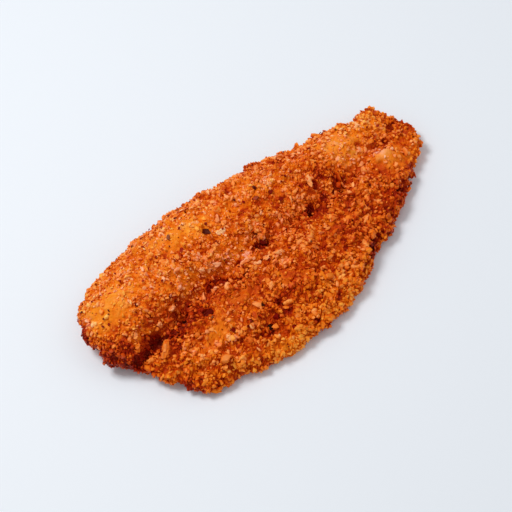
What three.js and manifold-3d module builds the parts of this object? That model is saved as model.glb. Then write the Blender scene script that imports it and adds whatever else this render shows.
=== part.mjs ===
// A breaded and deep-fried fish fillet: one solid, millimetres, +Z up.
// +X runs along the fillet to its tail, +Y to the thick loin side, and it lies on its flat underside.
// The body is a pillow: one grid for the crusted top, one for the underside, closed along the outline.
// Crumbs and spice flakes large enough to see from a step away are fused onto it.
import * as THREE from 'three';
import { mergeVertices } from 'three/addons/utils/BufferGeometryUtils.js';
import Module from 'manifold-3d';

// ---- driving dimensions ----
const HALF_LENGTH = 97; // of the plain oval that the outline is drawn round
const HALF_WIDTH = 46;

// Outline seen from above, one point every 22.5 degrees of the oval, from the tail round by the loin.
const OUTLINE = [
  [102, 17], // outermost corner of the tail
  [93.5, 43], // loin-side corner of the tail
  [76, 44.5],
  [47, 46.5],
  [11, 52],
  [-32, 52.5], // straight back of the loin
  [-64.5, 47],
  [-90.5, 39.5],
  [-102, 22], // blunt head end of the loin
  [-98.5, -3],
  [-83, -21], // mouth of the cleft between loin and belly
  [-67, -42], // corner of the belly flap
  [-34, -50],
  [8.5, -47.5], // long thin edge of the belly flap
  [50.5, -26],
  [84, -2], // belly-side lobe of the tail
];

// Stations along X, from the head to the tail: [x, value].
const SEAM_LINE = [
  [-106, -20],
  [-79, -11],
  [-60, -7],
  [-39, -2.5],
  [-20, 0.5],
  [24, 4],
  [49, 7.5],
  [74, 17],
  [96, 28],
];
const LOIN_HEIGHT = [
  [-101, 22],
  [-81, 26],
  [-51, 28.5],
  [-16, 27.5],
  [24, 25],
  [54, 21],
  [76, 17.5],
  [98, 14],
];
const BELLY_HEIGHT = [
  [-86, 14],
  [-66, 18],
  [-36, 20.5],
  [4, 20],
  [44, 17],
  [74, 14],
  [98, 12],
];
const SEAM_DEPTH = [
  [-96, 8],
  [-74, 6.5],
  [-46, 3.6],
  [-6, 2],
  [14, 1.2],
  [34, 2.2],
  [74, 2.4],
];

const SEAM_HALF_WIDTH = 5;
const LOIN_CREST_OFFSET = 22; // from the seam to the top of the loin
const LOIN_FALL = 0.16; // share of its height that the loin loses from crest to seam
const LOIN_BACK_FALL = 0.1; // and over the same distance on its far side
const BELLY_REACH = 54; // from the seam to the thin edge
const BELLY_FALL = 0.52; // share of its height that the belly flap loses over that reach
const BELLY_CURVE = 1.5; // power of that fall: it starts gently and steepens
const SEAM_BLEND = [-3, 14]; // the belly's height turns into the loin's between these offsets

const RIM_HEIGHT = 6.5; // height at which the outline is widest
const RIM_RISE_TO_LOIN = 3.5;
const RIM_RISE_AT_HEAD = 2.5;
const SHOULDER = [9, 5]; // power of the rounding down to the rim: blunt loin and ends, softer belly flap
const UNDERSIDE = 9; // power of the rounding from the flat underside up to the rim
const UNDERSIDE_FLAT = 0.05; // share of the lift that is cut off to leave the underside truly flat

const FLAP_GROOVE_AT = 0.77; // share of the way out to the edge of the belly flap
const FLAP_GROOVE_WIDTH = 0.05;
const FLAP_GROOVE_DEPTH = 1.6;
const FLAP_LIP_AT = 0.9;
const FLAP_LIP_WIDTH = 0.05;
const FLAP_LIP_RISE = 1.2;
const FLAP_SPAN = 1.6; // how fast groove and lip come in along the flap's edge, and fade at its ends
const FLAP_TURN = 0.15; // radians that the flap is turned towards the head

// Pits (negative rise) and raised folds of crust (positive rise):
// [x, y, half length, half width, turn in degrees, rise].
const FOLDS = [
  [-74, -8, 6, 4, 25, -2.4], // pits along the seam, from the head to the tail
  [-59, -5, 5, 4, 30, -2.6],
  [-31, -1.5, 6, 4, 15, -2],
  [-21, -6.5, 7, 1.6, 5, -2.6],
  [-3, 3.5, 5, 2.6, 10, -3.2],
  [27, 6.5, 4.5, 3, 20, -3],
  [48, 9, 5, 3, 30, -3.2],
  [92, 28, 4, 3, 50, -2.4],
  [-71, -13.5, 2.4, 4.5, -25, 3.2], // finger of crust at the cleft
  [-30, -9, 7, 2.4, 20, 2], // lips of crust beside the seam
  [-10, -2.5, 9, 2.2, 15, 2.2],
  [-45.5, -14, 3.5, 2.6, 0, -1.6], // dents in the belly flap
  [-21, -26, 5, 4, 60, -1.4],
  [-25, -36, 3, 2.5, 0, -1.4],
  [-36, 29, 14, 5, 8, 0.9], // smooth swellings of the loin and tail
  [63, 28, 9, 6, 0, 1],
  [84, 5, 8, 7, 0, 0.8],
  [78, 13, 4.5, 4, 20, 1.8],
];

const GRID_LENGTHWISE = 68;
const GRID_ACROSS = 36;
const MERGE = 1e-4; // vertices closer than this are one
// Uneven crust: size and rise of each kind of bump, and the layer of the noise that it reads.
const LUMPS = { size: 13, rise: 1.3, layer: 7 };
const CRAGS = { size: 4.3, rise: 1.3, layer: 3 };
const EDGE_CRAGS = { size: 6, rise: 1.7, layer: 11 };
const EDGE_CRAG_POWER = 6; // they fade quickly inwards from the outline

const CRUMB_COUNT = 22;
const CRUMB_RADIUS = [1.5, 2.6];
const CRUMB_SHAPE = [1.25, 0.9, 0.6]; // length, width and thickness over the radius
const CRUMB_OUT = 0.92; // crumbs lie within this share of the outline
const CRUMB_STEP = [0.7548776662, 0.569840291]; // golden-ratio steps that spread them evenly
const CHIP_PULL = [0.8, 1.15]; // corners of a crumb or flake lie between these shares of its radius

// Spice flakes and odd chips: [x, y, half length, half width, half thickness, turn in degrees].
const FLAKES = [
  [-16, 17, 2.2, 1.5, 1.1, 20], // pale chip
  [-23.5, 21.5, 2.8, 1.1, 0.9, -40], // chilli flakes
  [-38.5, 19.5, 2.6, 1.3, 0.9, 15],
  [-40, 30.5, 2, 1, 0.9, 35],
  [15.5, 22.5, 2, 1.7, 0.9, 60],
  [18, 15, 2.2, 1.2, 0.9, -20],
  [36, 17.5, 1.9, 1.4, 1.2, -40], // pale crumb
  [-45.5, -13.5, 2.2, 1.2, 0.9, 0],
  [-41, -28.5, 1.9, 1.5, 1, 70],
  [-25, -36, 1.6, 1.5, 1.2, 0],
  [-19.5, -34.5, 1.7, 1.2, 0.9, 30],
  [-15, -42, 1.9, 1.2, 0.9, -30],
];
const FLAKE_RISE = 0.4; // height of a flake's middle above the crust, over its half thickness
const SEARCH_STEPS = 12;

const CRUST = { color: 0xc4621c, roughness: 0.62, metalness: 0 };

// ---- small maths ----
const fraction = (x) => x - Math.floor(x);
const clamp01 = (x) => Math.min(1, Math.max(0, x));
const mix = (a, b, t) => a + (b - a) * t;
const bell = (d) => Math.exp(-d * d);
const smooth = (from, to, x) => {
  const t = clamp01((x - from) / (to - from));
  return t * t * (3 - 2 * t);
};

// Straight lines between stations, level beyond the first and last.
function along(stations, x) {
  if (x <= stations[0][0]) return stations[0][1];
  for (let i = 1; i < stations.length; i++) {
    const [x0, y0] = stations[i - 1];
    const [x1, y1] = stations[i];
    if (x <= x1) return mix(y0, y1, (x - x0) / (x1 - x0));
  }
  return stations[stations.length - 1][1];
}

// A repeatable random number from 0 to 1 for a lattice corner.
const hash = (i, j, k) => fraction(Math.sin(i * 127.1 + j * 311.7 + k * 74.7) * 43758.5453);

// Value noise from -1 to 1: smooth blending of the random numbers at the eight corners of a cell.
function noise(x, y, z) {
  const cell = [Math.floor(x), Math.floor(y), Math.floor(z)];
  const weight = [x - cell[0], y - cell[1], z - cell[2]].map((f) => f * f * (3 - 2 * f));
  let sum = 0;
  for (let corner = 0; corner < 8; corner++) {
    const step = [corner & 1, (corner >> 1) & 1, (corner >> 2) & 1];
    const share = step.reduce((product, s, i) => product * (s ? weight[i] : 1 - weight[i]), 1);
    sum += share * hash(cell[0] + step[0], cell[1] + step[1], cell[2] + step[2]);
  }
  return 2 * sum - 1;
}

// ---- the outline ----
// Closed Catmull-Rom curve through the outline's points, at an angle of the oval.
function outlineAt(angle) {
  const count = OUTLINE.length;
  const place = fraction(angle / (2 * Math.PI) + 1) * count;
  const i = Math.floor(place) % count;
  const t = place - Math.floor(place);
  const [a, b, c, d] = [-1, 0, 1, 2].map((step) => OUTLINE[(i + step + count) % count]);
  return [0, 1].map((axis) => {
    const linear = c[axis] - a[axis];
    const square = 2 * a[axis] - 5 * b[axis] + 4 * c[axis] - d[axis];
    const cube = 3 * b[axis] - a[axis] - 3 * c[axis] + d[axis];
    return b[axis] + 0.5 * t * (linear + t * (square + t * cube));
  });
}

// Square grid (u, v in -1..1) to the plan: the square becomes a disc, and the disc the outline.
function planAt(u, v) {
  const p = u * Math.sqrt(1 - (v * v) / 2);
  const q = v * Math.sqrt(1 - (u * u) / 2);
  const out = Math.min(1, Math.hypot(p, q));
  const angle = Math.atan2(q, p);
  const edge = outlineAt(angle);
  const oval = [HALF_LENGTH * Math.cos(angle), HALF_WIDTH * Math.sin(angle)];
  const x = out * mix(oval[0], edge[0], out);
  const y = out * mix(oval[1], edge[1], out);
  return { x, y, out, angle };
}

// ---- heights ----
function foldsAt(x, y) {
  let rise = 0;
  for (const [fx, fy, halfLength, halfWidth, turn, height] of FOLDS) {
    const c = Math.cos(THREE.MathUtils.degToRad(turn));
    const s = Math.sin(THREE.MathUtils.degToRad(turn));
    const lengthwise = ((x - fx) * c + (y - fy) * s) / halfLength;
    const across = ((y - fy) * c - (x - fx) * s) / halfWidth;
    rise += height * bell(Math.hypot(lengthwise, across));
  }
  return rise;
}

// Height of the crown: a thick loin, a sloping belly flap, and the seam between them.
function crownAt(x, y) {
  const offset = y - along(SEAM_LINE, x);
  const fromCrest = (offset - LOIN_CREST_OFFSET) / LOIN_CREST_OFFSET;
  const loinFall = fromCrest < 0 ? LOIN_FALL : LOIN_BACK_FALL;
  const loin = along(LOIN_HEIGHT, x) * (1 - loinFall * fromCrest ** 2);
  const bellyFall = BELLY_FALL * Math.max(0, -offset / BELLY_REACH) ** BELLY_CURVE;
  const belly = along(BELLY_HEIGHT, x) * (1 - bellyFall);
  const seam = along(SEAM_DEPTH, x) * bell(offset / SEAM_HALF_WIDTH);
  return mix(belly, loin, smooth(...SEAM_BLEND, offset)) - seam + foldsAt(x, y);
}

// The groove and raised lip that run inside the thin edge of the belly flap.
function flapAt(out, angle) {
  const onFlap = clamp01(-FLAP_SPAN * Math.sin(angle + FLAP_TURN));
  const groove = FLAP_GROOVE_DEPTH * bell((out - FLAP_GROOVE_AT) / FLAP_GROOVE_WIDTH);
  const lip = FLAP_LIP_RISE * bell((out - FLAP_LIP_AT) / FLAP_LIP_WIDTH);
  return onFlap * (lip - groove);
}

function shoulderAt(out, angle) {
  const power = mix(...SHOULDER, Math.max(0, -Math.sin(angle)));
  return Math.sqrt(Math.max(0, 1 - out ** power));
}

function rimHeight(angle) {
  const towardsHead = Math.max(0, -Math.cos(angle));
  return RIM_HEIGHT + RIM_RISE_TO_LOIN * Math.sin(angle) + RIM_RISE_AT_HEAD * towardsHead ** 2;
}

const bumpsAt = ({ size, rise, layer }, x, y) => rise * noise(x / size, y / size, layer);

function topHeight(x, y, out, angle) {
  const crown = crownAt(x, y) + flapAt(out, angle) + bumpsAt(LUMPS, x, y) + bumpsAt(CRAGS, x, y);
  return mix(rimHeight(angle), crown, shoulderAt(out, angle));
}

function undersideHeight(out, angle) {
  const lift = 1 - Math.sqrt(Math.max(0, 1 - out ** UNDERSIDE));
  return rimHeight(angle) * clamp01(lift * (1 + UNDERSIDE_FLAT) - UNDERSIDE_FLAT);
}

function crustPoint(u, v, onTop) {
  const { x, y, out, angle } = planAt(u, v);
  const z = onTop ? topHeight(x, y, out, angle) : undersideHeight(out, angle);
  const reach = bumpsAt(EDGE_CRAGS, x, y) * out ** EDGE_CRAG_POWER;
  return [x + reach * Math.cos(angle), y + reach * Math.sin(angle), z];
}

// ---- meshes ----
function bodyGeometry() {
  const positions = [];
  const indices = [];
  for (const onTop of [true, false]) {
    for (let i = 0; i <= GRID_LENGTHWISE; i++) {
      for (let j = 0; j <= GRID_ACROSS; j++) {
        const u = (2 * i) / GRID_LENGTHWISE - 1;
        const v = (2 * j) / GRID_ACROSS - 1;
        positions.push(...crustPoint(u, v, onTop));
      }
    }
  }
  const row = GRID_ACROSS + 1;
  const layer = row * (GRID_LENGTHWISE + 1);
  for (let i = 0; i < GRID_LENGTHWISE; i++) {
    for (let j = 0; j < GRID_ACROSS; j++) {
      const a = i * row + j;
      const quad = [a, a + row, a + row + 1, a + 1];
      // Diagonals lean towards the corners, so that no triangle lies along the outline.
      const lean = (i < GRID_LENGTHWISE / 2) === (j < GRID_ACROSS / 2) ? 0 : 1;
      const [p, q, r, s] = [0, 1, 2, 3].map((k) => quad[(k + lean) % 4]);
      indices.push(p, q, r, p, r, s);
      indices.push(layer + p, layer + r, layer + q, layer + p, layer + s, layer + r);
    }
  }
  const geometry = new THREE.BufferGeometry();
  geometry.setAttribute('position', new THREE.Float32BufferAttribute(positions, 3));
  geometry.setIndex(indices);
  return mergeVertices(geometry, MERGE);
}

// A rough chip of twenty faces, its corners pulled in or out by a random share.
function chipGeometry(seed, size, turn) {
  const geometry = new THREE.IcosahedronGeometry(1, 0);
  geometry.deleteAttribute('normal');
  geometry.deleteAttribute('uv');
  const chip = mergeVertices(geometry, MERGE);
  const corner = chip.getAttribute('position');
  for (let i = 0; i < corner.count; i++) {
    const pull = mix(...CHIP_PULL, hash(seed, i, 5));
    corner.setXYZ(i, corner.getX(i) * pull, corner.getY(i) * pull, corner.getZ(i) * pull);
  }
  chip.scale(...size);
  chip.rotateZ(turn);
  return chip;
}

// The point of the crust over a spot of the plan: the grid's place for the spot is found step by step.
function crustOver(x, y) {
  let [u, v] = [x / HALF_LENGTH, y / HALF_WIDTH];
  for (let step = 0; step < SEARCH_STEPS; step++) {
    const here = planAt(u, v);
    u += (x - here.x) / HALF_LENGTH;
    v += (y - here.y) / HALF_WIDTH;
  }
  return crustPoint(u, v, true);
}

function crumbGeometries() {
  const crumbs = [];
  for (let n = 1; n <= CRUMB_COUNT; n++) {
    const [u, v] = CRUMB_STEP.map((step) => CRUMB_OUT * mix(-1, 1, fraction(0.5 + n * step)));
    const radius = mix(...CRUMB_RADIUS, hash(n, 1, 2));
    const size = CRUMB_SHAPE.map((share) => radius * share);
    const crumb = chipGeometry(n, size, Math.PI * hash(n, 3, 4));
    crumb.translate(...crustPoint(u, v, true));
    crumbs.push(crumb);
  }
  return crumbs;
}

function flakeGeometries() {
  return FLAKES.map(([x, y, halfLength, halfWidth, halfThickness, turn], n) => {
    const seed = CRUMB_COUNT + 1 + n;
    const size = [halfLength, halfWidth, halfThickness];
    const flake = chipGeometry(seed, size, THREE.MathUtils.degToRad(turn));
    const [px, py, pz] = crustOver(x, y);
    flake.translate(px, py, pz + FLAKE_RISE * halfThickness);
    return flake;
  });
}

// ---- joining ----
const wasm = await Module();
wasm.setup();

function toSolid(geometry) {
  const vertProperties = Float32Array.from(geometry.getAttribute('position').array);
  const triVerts = Uint32Array.from(geometry.index.array);
  return new wasm.Manifold(new wasm.Mesh({ numProp: 3, vertProperties, triVerts }));
}

function toGeometry(solid) {
  const { vertProperties, triVerts, numProp } = solid.getMesh();
  const positions = [];
  for (let i = 0; i < vertProperties.length; i += numProp) {
    positions.push(vertProperties[i], vertProperties[i + 1], vertProperties[i + 2]);
  }
  const geometry = new THREE.BufferGeometry();
  geometry.setAttribute('position', new THREE.Float32BufferAttribute(positions, 3));
  geometry.setIndex(Array.from(triVerts));
  return geometry;
}

function filletGeometry() {
  let solid = toSolid(bodyGeometry());
  for (const piece of [...crumbGeometries(), ...flakeGeometries()]) {
    solid = solid.add(toSolid(piece));
  }
  const geometry = toGeometry(solid);
  geometry.computeBoundingBox();
  const { min, max } = geometry.boundingBox;
  geometry.translate(-(min.x + max.x) / 2, -(min.y + max.y) / 2, -min.z);
  geometry.computeVertexNormals();
  return geometry;
}

const fillet = new THREE.Mesh(filletGeometry(), new THREE.MeshStandardMaterial(CRUST));
fillet.name = 'fillet';

const group = new THREE.Group();
group.add(fillet);

export default group;
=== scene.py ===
# %% [markdown]
# # A breaded and deep-fried fish fillet
# A thick rounded loin and a thinner belly flap lie side by side with a seam between them, all in
# a crust of crumbs: golden where it bulges, red-brown where it dips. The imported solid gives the
# frame, the place and the size. Everything here is made round it.

import bpy
import numpy as np
from mathutils import Matrix, Vector


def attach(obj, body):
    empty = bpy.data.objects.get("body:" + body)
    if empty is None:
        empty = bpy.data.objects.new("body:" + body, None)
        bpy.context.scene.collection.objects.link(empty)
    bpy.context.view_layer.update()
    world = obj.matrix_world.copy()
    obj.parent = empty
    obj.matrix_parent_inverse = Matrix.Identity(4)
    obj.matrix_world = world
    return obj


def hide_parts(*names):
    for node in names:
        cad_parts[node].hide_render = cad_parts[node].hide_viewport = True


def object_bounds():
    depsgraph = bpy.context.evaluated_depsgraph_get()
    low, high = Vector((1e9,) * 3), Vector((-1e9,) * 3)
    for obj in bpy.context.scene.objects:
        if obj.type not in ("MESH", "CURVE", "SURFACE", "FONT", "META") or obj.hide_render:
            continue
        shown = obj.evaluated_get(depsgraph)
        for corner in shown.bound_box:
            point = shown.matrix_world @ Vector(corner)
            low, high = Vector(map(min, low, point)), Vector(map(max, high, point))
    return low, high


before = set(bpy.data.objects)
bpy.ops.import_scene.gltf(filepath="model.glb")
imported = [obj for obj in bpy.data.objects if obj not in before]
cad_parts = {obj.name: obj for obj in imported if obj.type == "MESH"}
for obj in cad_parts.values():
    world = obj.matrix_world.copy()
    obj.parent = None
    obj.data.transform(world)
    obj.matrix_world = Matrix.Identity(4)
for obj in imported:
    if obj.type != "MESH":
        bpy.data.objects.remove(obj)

MM = 0.001  # crumbs are a millimetre or two, so shapes are worked out in millimetres
cad_box = [list(corner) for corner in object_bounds()]
BOX_LOW, BOX_HIGH = np.array(cad_box) / MM
print("solid's box in mm:", BOX_LOW.round(1), BOX_HIGH.round(1))

# %% [markdown]
# ## Camera
# A long lens from about 70 cm away, looking down at 55 degrees and rolled so that the fillet
# crosses the picture from lower left to upper right. Its three directions are given outright,
# because a roll is hard to read in three turns.

# %% Camera
CAMERA_PLACE = (-125.2, -383.3, 594.5)
CAMERA_RIGHT = (0.83141, -0.52554, -0.18046)
CAMERA_UP = (0.53043, 0.6539, 0.5395)
CAMERA_BACK = (-0.16552, -0.54427, 0.82242)

CAMERA_LENS, CAMERA_SENSOR = 98.44, 36

camera = bpy.data.objects.new("camera", bpy.data.cameras.new("camera"))
bpy.context.scene.collection.objects.link(camera)
camera.data.lens, camera.data.sensor_width = CAMERA_LENS, CAMERA_SENSOR
turn = Matrix(np.column_stack([CAMERA_RIGHT, CAMERA_UP, CAMERA_BACK]).tolist()).to_4x4()
camera.matrix_world = Matrix.Translation(Vector(CAMERA_PLACE) * MM) @ turn
bpy.context.scene.camera = camera
print("camera stands", round(camera.location.length, 3), "m from the middle of the fillet")

# %% [markdown]
# ## Stage and light
# Fried food is lit by one broad soft window, high on the far left, so that every crumb has a
# light side and a shade side. A weaker lamp on the near right and a pale room keep the shade from
# going black. A bare bulb would be simpler, but its hard shadows would turn every gap between
# crumbs black. The floor is one big pale sheet.


# %% Small helpers for nodes and meshes
def add_node(tree, kind, inputs=None, **settings):
    """A node of that kind: settings are its own values, inputs are numbers or other nodes' outputs."""
    made = tree.nodes.new(kind)
    for name, value in settings.items():
        setattr(made, name, value)
    for name, value in (inputs or {}).items():
        if isinstance(value, bpy.types.NodeSocket):
            tree.links.new(value, made.inputs[name])
        else:
            made.inputs[name].default_value = value
    return made


def linear(red, green, blue):
    """A colour as a screen shows it, 0 to 255, turned into the light that it reflects."""
    share = np.array([red, green, blue]) / 255
    light = np.where(share < 0.04045, share / 12.92, ((share + 0.055) / 1.055) ** 2.4)
    return (*light.tolist(), 1.0)


def triangle_mesh(name, points, faces, smooth):
    """A mesh object from arrays: points in millimetres, three point numbers for each face."""
    mesh = bpy.data.meshes.new(name)
    mesh.vertices.add(len(points))
    mesh.vertices.foreach_set("co", (points * MM).astype(np.float32).ravel())
    mesh.loops.add(faces.size)
    mesh.loops.foreach_set("vertex_index", faces.astype(np.int32).ravel())
    mesh.polygons.add(len(faces))
    mesh.polygons.foreach_set("loop_start", np.arange(0, faces.size, 3, dtype=np.int32))
    mesh.update(calc_edges=True)
    if smooth:
        mesh.shade_smooth()
    else:
        mesh.shade_flat()
    piece = bpy.data.objects.new(name, mesh)
    bpy.context.scene.collection.objects.link(piece)
    return piece


# %% Floor
FLOOR_REACH, FLOOR_COLOUR, FLOOR_ROUGHNESS = 3000, linear(232, 240, 250), 0.6
corners = np.array([[-1, -1, 0], [1, -1, 0], [1, 1, 0], [-1, 1, 0]]) * FLOOR_REACH
floor = triangle_mesh("floor", corners, np.array([[0, 1, 2], [0, 2, 3]]), smooth=False)
pale = bpy.data.materials.new("pale_floor")
pale.use_nodes = True
surface = pale.node_tree.nodes["Principled BSDF"]
surface.inputs["Base Color"].default_value = FLOOR_COLOUR
surface.inputs["Roughness"].default_value = FLOOR_ROUGHNESS
floor.data.materials.append(pale)
print("floor is", 2 * FLOOR_REACH * MM, "m wide")

# %% Lights
LIGHTS = {  # place and width in mm, watts, colour
    "window": ((-250, 430, 980), 420, 6.6, (1.0, 0.985, 0.96)),
    "room": ((700, -500, 700), 900, 1.5, (1.0, 0.97, 0.94)),
}
ROOM_COLOUR, ROOM_STRENGTH = (1.0, 0.97, 0.94, 1.0), 0.47
for name, (place, width, watts, colour) in LIGHTS.items():
    lamp = bpy.data.objects.new(name, bpy.data.lights.new(name, "AREA"))
    lamp.data.size, lamp.data.energy, lamp.data.color = width * MM, watts, colour
    lamp.location = Vector(place) * MM
    lamp.rotation_euler = (-lamp.location).to_track_quat("-Z", "Y").to_euler()
    bpy.context.scene.collection.objects.link(lamp)

world = bpy.data.worlds.new("pale_room")
world.use_nodes = True
world.node_tree.nodes["Background"].inputs["Color"].default_value = ROOM_COLOUR
world.node_tree.nodes["Background"].inputs["Strength"].default_value = ROOM_STRENGTH
bpy.context.scene.world = world
bpy.context.scene.view_settings.view_transform = "Standard"
print("lights:", ", ".join(LIGHTS))

# %% [markdown]
# ## The form
# The fillet is a pillow. Its top is a square grid, bent into a disc and the disc into the outline.
# Its underside is a set of rings that run in from the same rim. The outline is one smooth closed
# curve through sixteen points. Heights come from a few curves along the length: the loin, the
# belly flap, and the seam that dips between them. It could be sculpted by hand, but named curves
# can be changed one at a time.

# %% Outline and stations along the length
HALF_LENGTH, HALF_WIDTH = 97, 46
OUTLINE = np.array([
    (102, 17), (93.5, 43), (76, 44.5), (47, 46.5), (11, 52), (-32, 52.5), (-64.5, 47), (-90.5, 39.5),
    (-102, 22), (-98.5, -3), (-83, -21), (-67, -42), (-34, -50), (8.5, -47.5), (50.5, -26), (84, -2),
])
SEAM_LINE = np.array([
    (-106, -20), (-79, -11), (-60, -7), (-39, -2.5), (-20, 0.5), (24, 4), (49, 7.5), (74, 17), (96, 28),
])
LOIN_HEIGHT = np.array([
    (-101, 22), (-81, 26), (-51, 28.5), (-16, 27.5), (24, 25), (54, 21), (76, 17.5), (98, 14),
])
BELLY_HEIGHT = np.array([(-86, 14), (-66, 18), (-36, 20.5), (4, 20), (44, 17), (74, 14), (98, 12)])
SEAM_DEPTH = np.array([(-96, 8), (-74, 6.5), (-46, 3.6), (-6, 2), (14, 1.2), (34, 2.2), (74, 2.4)])
BOX_MIDDLE = np.array([-0.02, 0.81, 0])  # of these curves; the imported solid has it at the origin


# %% Small maths
def mix(a, b, share):
    """From a to b by a share."""
    return a + (b - a) * share


def bell(distance):
    """One in the middle, fading to nothing at about two: e to the power of minus distance squared."""
    return np.exp(-distance * distance)


def smooth_step(low, high, x):
    """Nought below low, one above high, an even S between."""
    t = np.clip((x - low) / (high - low), 0, 1)
    return t * t * (3 - 2 * t)


def along(stations, x):
    """Straight lines between stations, level beyond the first and last."""
    return np.interp(x, stations[:, 0], stations[:, 1])


WAVE_STEPS, WAVE_SIZE = (127.1, 311.7, 74.7), 43758.5453  # any uneven numbers of this size would do


def corner_value(i, j, k):
    """A repeatable random number from 0 to 1 for a corner of a lattice: the tail of a large sine."""
    wave = np.sin(i * WAVE_STEPS[0] + j * WAVE_STEPS[1] + k * WAVE_STEPS[2]) * WAVE_SIZE
    return wave - np.floor(wave)


def bumps(size, layer, x, y, z=0.0):
    """Smooth random bumps from -1 to 1 on a lattice of that size in mm. The eight corners of a cell
    are blended by an even S in each direction; layer picks another pattern."""
    places = np.broadcast_arrays(x / size, y / size, z / size + layer)
    cells = [np.floor(place) for place in places]
    shares = [(p - c) ** 2 * (3 - 2 * (p - c)) for p, c in zip(places, cells)]
    total = 0.0
    for corner in range(8):
        steps = [corner & 1, corner >> 1 & 1, corner >> 2 & 1]
        share = np.prod([s if step else 1 - s for s, step in zip(shares, steps)], axis=0)
        total = total + share * corner_value(*(c + step for c, step in zip(cells, steps)))
    return 2 * total - 1


# %% Plan: from a square grid to the outline
def outline_at(angle):
    """The closed curve through OUTLINE: between two points a cubic that also knows the points
    before and after them."""
    count = len(OUTLINE)
    place = angle / (2 * np.pi) % 1 * count
    i = np.floor(place).astype(int) % count
    t = (place - np.floor(place))[..., None]
    a, b, c, d = (OUTLINE[(i + step) % count] for step in (-1, 0, 1, 2))
    return b + 0.5 * t * ((c - a) + t * ((2 * a - 5 * b + 4 * c - d) + t * (3 * b - a - 3 * c + d)))


def disc_at(u, v):
    """Square to disc: each side is drawn in by the root of one minus half the other's square. Returns
    the way out, from 0 in the middle to 1 at the rim, and the angle."""
    p, q = u * np.sqrt(1 - v * v / 2), v * np.sqrt(1 - u * u / 2)
    return np.minimum(1, np.hypot(p, q)), np.arctan2(q, p)


def plan_at(out, angle):
    """Disc to plan: a point at a share of the way out lies that share along its ray, on a plain oval
    near the middle and on the outline at the rim."""
    edge = outline_at(angle)
    x = out * mix(HALF_LENGTH * np.cos(angle), edge[..., 0], out)
    y = out * mix(HALF_WIDTH * np.sin(angle), edge[..., 1], out)
    return x, y


# %% [markdown]
# ## Pits, folds and swellings
# Batter and crumbs don't settle evenly: along the seam there are pits where oil stood, lips of
# crust beside them, dents in the flap, and smooth swellings on the loin. A sculptor would press
# each one in. Here each is a soft oval that rises or sinks, so one table and one formula make
# them all.

# %% Ovals
FOLDS = np.array([  # x, y, half length, half width, turn in degrees, rise
    (-74, -8, 6, 4, 25, -2.4), (-59, -5, 5, 4, 30, -2.6), (-31, -1.5, 6, 4, 15, -2),
    (-21, -6.5, 7, 1.6, 5, -2.6), (-3, 3.5, 5, 2.6, 10, -3.2), (27, 6.5, 4.5, 3, 20, -3),
    (48, 9, 5, 3, 30, -3.2), (92, 28, 4, 3, 50, -2.4), (-71, -13.5, 2.4, 4.5, -25, 3.2),
    (-30, -9, 7, 2.4, 20, 2), (-10, -2.5, 9, 2.2, 15, 2.2), (-45.5, -14, 3.5, 2.6, 0, -1.6),
    (-21, -26, 5, 4, 60, -1.4), (-25, -36, 3, 2.5, 0, -1.4), (-36, 29, 14, 5, 8, 0.9),
    (63, 28, 9, 6, 0, 1), (84, 5, 8, 7, 0, 0.8), (78, 13, 4.5, 4, 20, 1.8),
])


def ovals_at(table, x, y):
    """The sum of all ovals of a table: each one's rise times a bell of the distance from its middle,
    measured in its own half length and half width."""
    total = np.zeros(np.shape(x))
    for middle_x, middle_y, half_length, half_width, turned, rise in table:
        c, s = np.cos(np.radians(turned)), np.sin(np.radians(turned))
        lengthwise = ((x - middle_x) * c + (y - middle_y) * s) / half_length
        across = ((y - middle_y) * c - (x - middle_x) * s) / half_width
        total += rise * bell(np.hypot(lengthwise, across))
    return total


# %% Height of the crown
CREST_OFFSET = 22  # from the seam to the crest of the loin
SEAM_SIDE_FALL, FAR_SIDE_FALL = 0.16, 0.1  # share of the loin's height that is lost at that distance
FLAP_FALL, FLAP_REACH = 0.52, 54  # share of the flap's height that is lost, and how far from the seam
SEAM_WIDTH = 5
LOIN_STARTS, LOIN_FULL = -3, 14  # how far from the seam


def from_seam(x, y):
    """How far a place is from the seam line: above nought on the loin, below it on the flap."""
    return y - along(SEAM_LINE, x)


def crown_at(x, y):
    """The loin falls off with the square of the distance from its crest, the belly flap with a power
    of the distance from the seam; an S blends them, a bell cuts the seam, and folds come on top."""
    offset = from_seam(x, y)
    from_crest = (offset - CREST_OFFSET) / CREST_OFFSET
    fall = np.where(from_crest < 0, SEAM_SIDE_FALL, FAR_SIDE_FALL)
    loin = along(LOIN_HEIGHT, x) * (1 - fall * from_crest**2)
    belly = along(BELLY_HEIGHT, x) * (1 - FLAP_FALL * np.maximum(0, -offset / FLAP_REACH) ** 1.5)
    seam = along(SEAM_DEPTH, x) * bell(offset / SEAM_WIDTH)
    return mix(belly, loin, smooth_step(LOIN_STARTS, LOIN_FULL, offset)) - seam + ovals_at(FOLDS, x, y)


# %% Heights of the rim, the top and the underside
RIM_MIDDLE, RIM_LOIN, RIM_HEAD = 6.5, 3.5, 2.5
LIP_RISE, LIP_OUT, GROOVE_DEPTH, GROOVE_OUT, LIP_WIDTH = 1.2, 0.9, 1.6, 0.77, 0.05
LUMP_RISE, LUMP_SIZE, SMALL_LUMP_SIZE = 1.3, 13, 4.3
FLAP_SIDE, FLAP_TURN = 1.6, 0.15  # how suddenly the flap begins round the rim, and where
LOIN_POWER, FLAP_POWER, UNDERSIDE_POWER = 9, 5, 9  # the higher, the blunter
FLAT_SHARE = 0.05  # how much of the underside's lift is pressed flat


def rim_height(angle):
    """Where the outline is widest: higher on the loin side, and a little higher at the head."""
    return RIM_MIDDLE + RIM_LOIN * np.sin(angle) + RIM_HEAD * np.maximum(0, -np.cos(angle)) ** 2


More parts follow.
